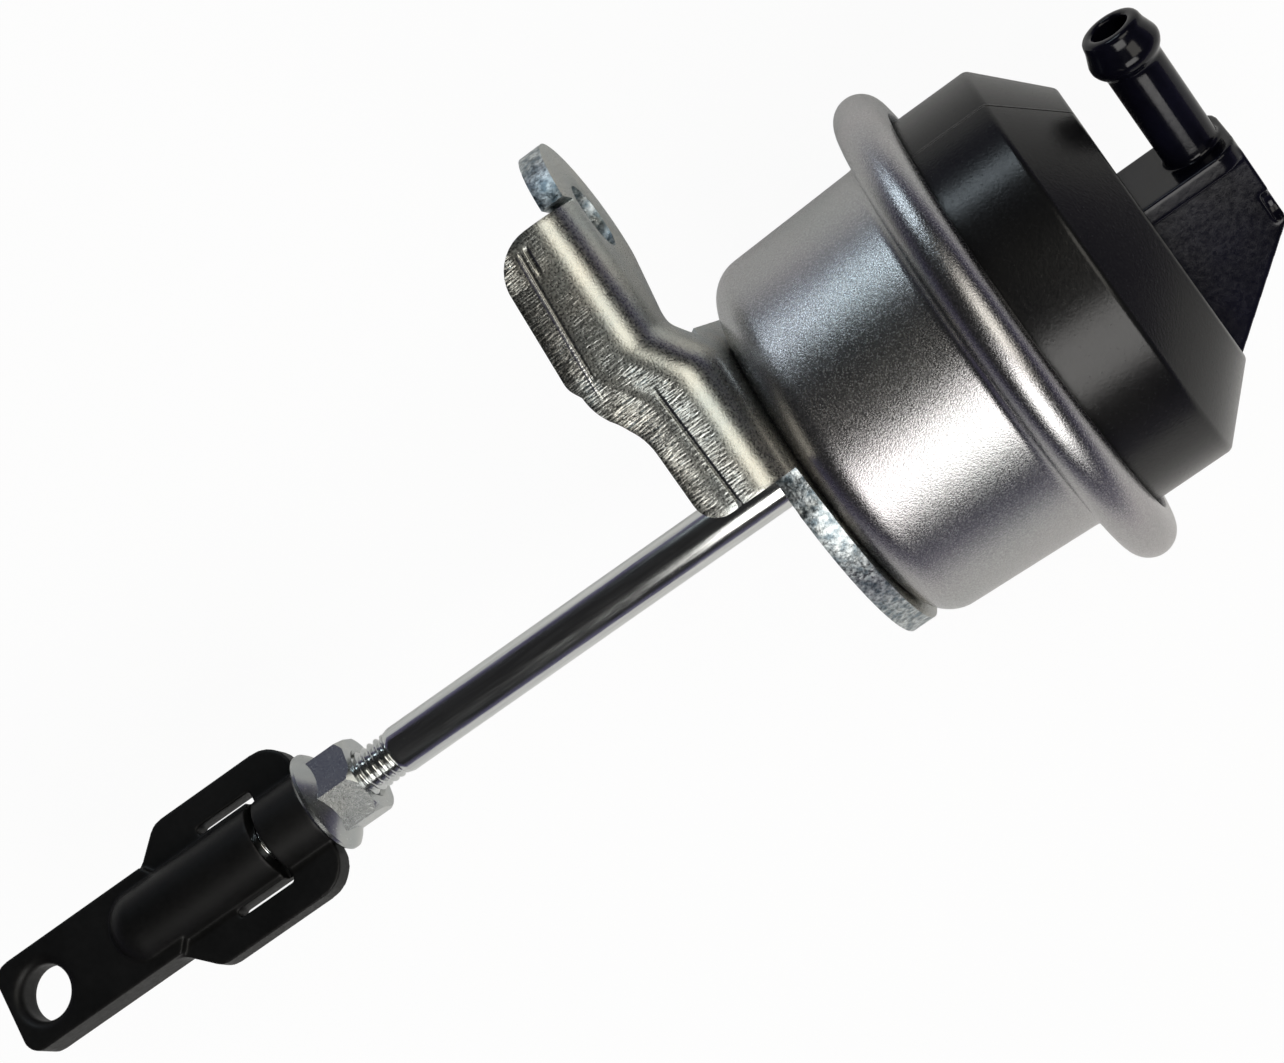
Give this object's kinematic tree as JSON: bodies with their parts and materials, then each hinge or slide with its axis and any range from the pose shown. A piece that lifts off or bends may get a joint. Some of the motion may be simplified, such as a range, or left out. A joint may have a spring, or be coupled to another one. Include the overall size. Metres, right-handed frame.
{
  "type": "wastegate actuator",
  "caption": "Pressure-driven diaphragm can on a folded bracket, with a sprung push rod, flange lock nut, black rod end and hose nipple.",
  "frame": {"origin": "centre of the rod end's eye", "axes": "+Z along the push rod from the eye towards the can, +X towards the bracket's mounting ear, +Y towards the bracket's stiffening lip"},
  "size_m": [0.0809, 0.0656, 0.1884],
  "materials": {
    "zinc_sheet": "satin zinc plate on drawn steel, slight purple cast",
    "bracket_sheet": "satin zinc plate on folded steel, with press marks and sheared edges",
    "cover_plastic": "satin black moulded plastic",
    "rubber": "matt black",
    "bearing_bronze": "sintered bearing metal",
    "pressed_steel": "pressed, zinc-plated",
    "spring_steel": "oiled spring wire",
    "rod_steel": "bright zinc plate on drawn rod",
    "nut_steel": "bright zinc plate",
    "rod_end_black": "smooth satin black"
  },
  "bodies": {
    "housing": {"can": "zinc_sheet", "cover": "cover_plastic", "diaphragm": "rubber", "bracket": "bracket_sheet", "guide_bush": "bearing_bronze", "rod_wiper": "rubber", "spring_seat": "pressed_steel", "return_spring": "spring_steel"},
    "rod_assembly": {"rod": "rod_steel", "backing_washer": "pressed_steel", "piston_cup": "pressed_steel", "retainer_plate": "pressed_steel", "lock_nut": "nut_steel", "rod_end": "rod_end_black"}
  },
  "joints": [
    {"name": "rod_slide", "type": "slide", "parent": "housing", "child": "rod_assembly", "axis": [0, 0, -1], "range_m": [0, 0.01], "stiffness_N_per_m": 6000, "springref_m": -0.01, "deforming": ["return_spring", "diaphragm"]}
  ]
}
